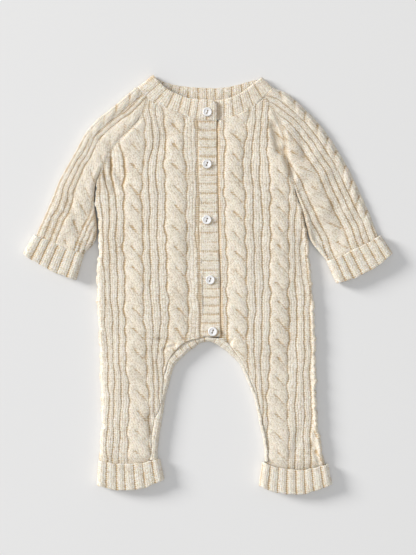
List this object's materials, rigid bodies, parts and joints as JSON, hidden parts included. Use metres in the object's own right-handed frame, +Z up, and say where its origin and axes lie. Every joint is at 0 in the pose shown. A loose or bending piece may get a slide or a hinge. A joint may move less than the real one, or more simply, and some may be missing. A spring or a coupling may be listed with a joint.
{
  "type": "baby romper",
  "caption": "Cable-knit baby romper with raglan sleeves, long legs, turned-up ribbed cuffs, a ribbed neckband and a buttoned front, laid flat on its back.",
  "frame": {"origin": "on the floor, under the middle of the laid-out garment", "axes": "+Y towards the neck, +Z up from the floor, +X to the right of someone looking down with the neck away from them"},
  "size_m": [0.4428, 0.5042, 0.0144],
  "materials": {
    "cable_knit": "soft cotton cable knit, oatmeal cream",
    "rib_knit": "ribbed cotton knit, oatmeal cream",
    "shell_button": "pearly white, shell-like"
  },
  "bodies": {
    "root": {"back": "cable_knit", "front_left": "cable_knit", "front_right": "cable_knit", "sleeve_left": "cable_knit", "sleeve_right": "cable_knit", "sleeve_cuff_left": "rib_knit", "sleeve_cuff_right": "rib_knit", "leg_cuff_left": "rib_knit", "leg_cuff_right": "rib_knit", "neckband": "rib_knit", "under_band": "rib_knit", "button_band": "rib_knit", "button_1": "shell_button", "button_2": "shell_button", "button_3": "shell_button", "button_4": "shell_button", "button_5": "shell_button"}
  },
  "joints": []
}
